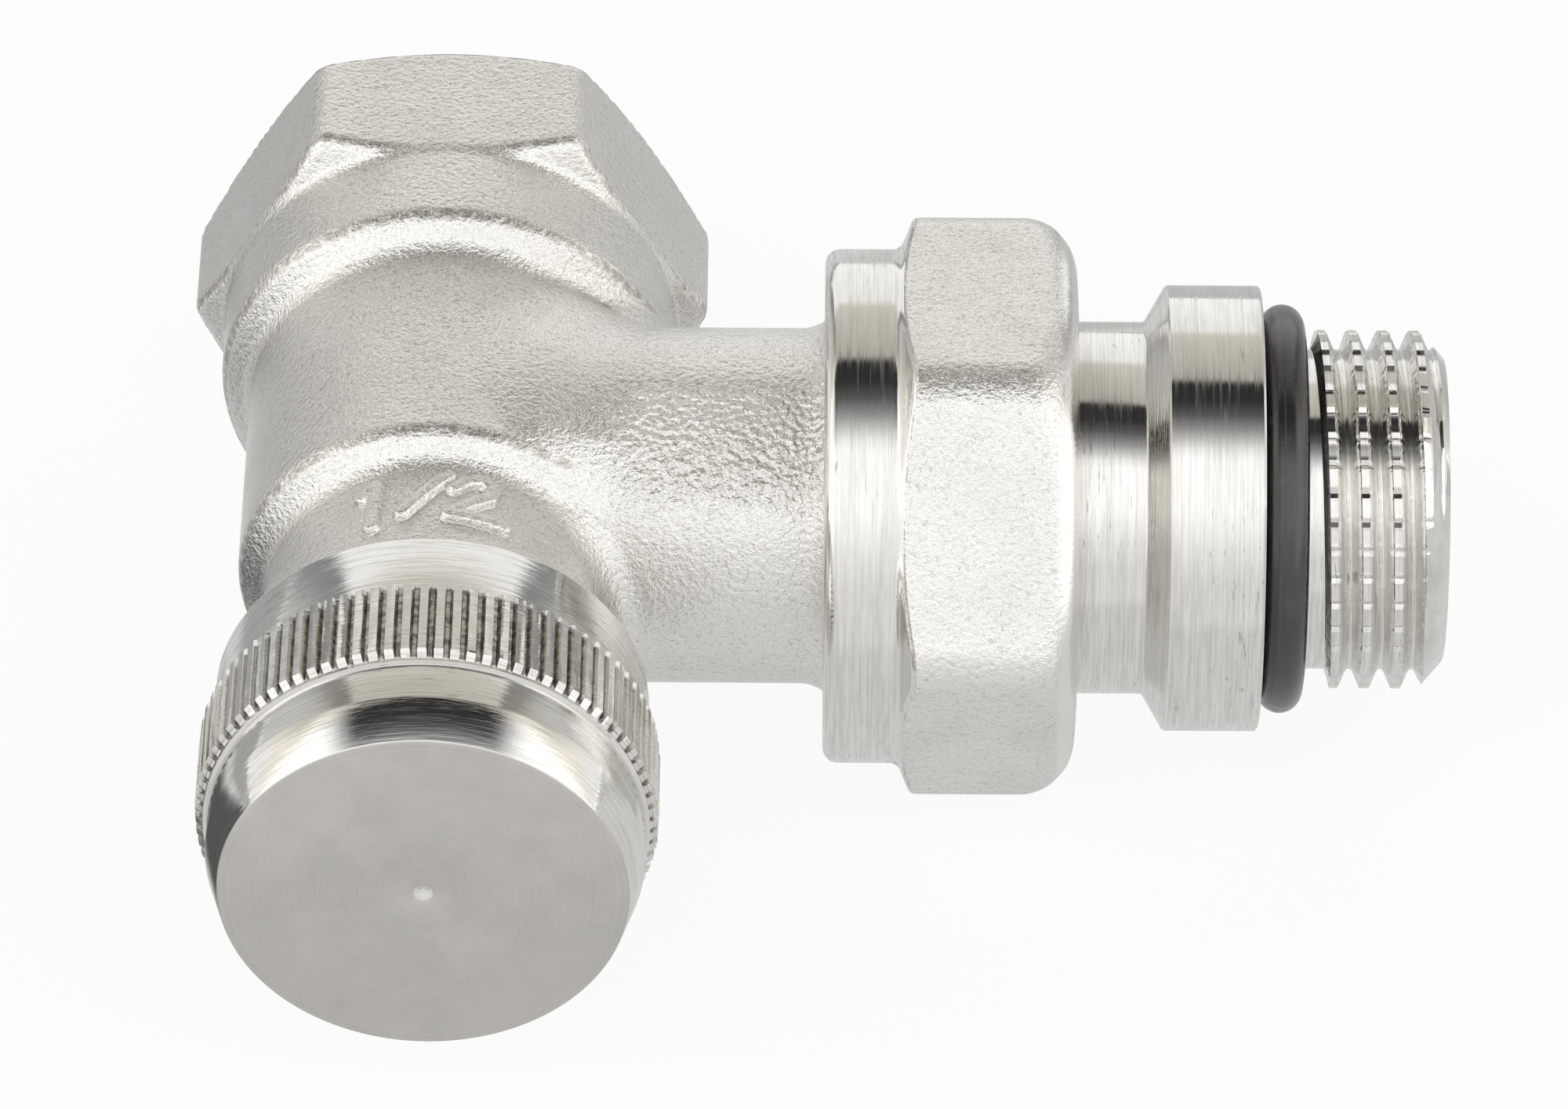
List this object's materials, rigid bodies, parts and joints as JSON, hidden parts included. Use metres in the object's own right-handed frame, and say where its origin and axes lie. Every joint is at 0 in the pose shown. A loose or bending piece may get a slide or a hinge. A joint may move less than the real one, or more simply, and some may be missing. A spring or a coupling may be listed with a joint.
{
  "type": "radiator lockshield valve",
  "caption": "Angle pattern radiator lockshield valve: pipe socket, branch with union nut and tail with sealing ring, and a knurled metal cap over a screw-down regulating spindle.",
  "frame": {"origin": "centre of the pipe socket's mouth", "axes": "+Y along the pipe socket's axis, out of the mouth; the spindle lies on the same axis with the cap towards -Y; +X along the tail towards the radiator; +Z square to both, the side of the neck that carries the raised size mark"},
  "size_m": [0.0732, 0.0584, 0.0314],
  "materials": {
    "cast_nickel": "nickel plate over a grained hot-pressed surface",
    "turned_nickel": "nickel plate over fine turning marks, bright",
    "plain_brass": "machined brass",
    "spring_steel": "spring steel",
    "black_rubber": "black sealing rubber, satin"
  },
  "bodies": {
    "valve": {"valve_body": "cast_nickel", "bonnet": "plain_brass", "bonnet_o_ring": "black_rubber"},
    "cap_lift": {"cap_gasket": "black_rubber"},
    "cap": {"cap": "turned_nickel"},
    "spindle_lift": {"spindle_o_ring_inner": "black_rubber", "spindle_o_ring_outer": "black_rubber"},
    "spindle": {"spindle": "plain_brass", "valve_disc": "plain_brass", "seat_gasket": "black_rubber", "gasket_washer": "plain_brass", "disc_screw": "plain_brass"},
    "tail": {"tail_piece": "turned_nickel", "tail_o_ring": "black_rubber", "nut_retaining_ring": "spring_steel", "union_o_ring": "black_rubber"},
    "nut": {"union_nut": "cast_nickel"}
  },
  "joints": [
    {"name": "cap_rise", "type": "slide", "parent": "valve", "child": "cap_lift", "axis": [0, -1, 0], "range_m": [0, 0.00751]},
    {"name": "cap_turn", "type": "hinge", "parent": "cap_lift", "child": "cap", "pos_m": [0, -0.055, 0], "axis": [0, -1, 0], "range_deg": [0, 1800]},
    {"name": "spindle_advance", "type": "slide", "parent": "valve", "child": "spindle_lift", "axis": [0, 1, 0], "range_m": [0, 0.00451]},
    {"name": "spindle_turn", "type": "hinge", "parent": "spindle_lift", "child": "spindle", "pos_m": [0, -0.04, 0], "axis": [0, 1, 0], "range_deg": [0, 1620]},
    {"name": "union_part", "type": "slide", "parent": "valve", "child": "tail", "axis": [1, 0, 0], "range_m": [0, 0.00908]},
    {"name": "nut_turn", "type": "hinge", "parent": "tail", "child": "nut", "pos_m": [0.03, -0.0254, 0], "axis": [1, 0, 0], "range_deg": [0, 1800]}
  ],
  "couplings": [
    {"joint": "cap_rise", "follows": "cap_turn", "m_per_rad": 0.00023873},
    {"joint": "spindle_advance", "follows": "spindle_turn", "m_per_rad": 0.00015915},
    {"joint": "union_part", "follows": "nut_turn", "m_per_rad": 0.00028871}
  ]
}
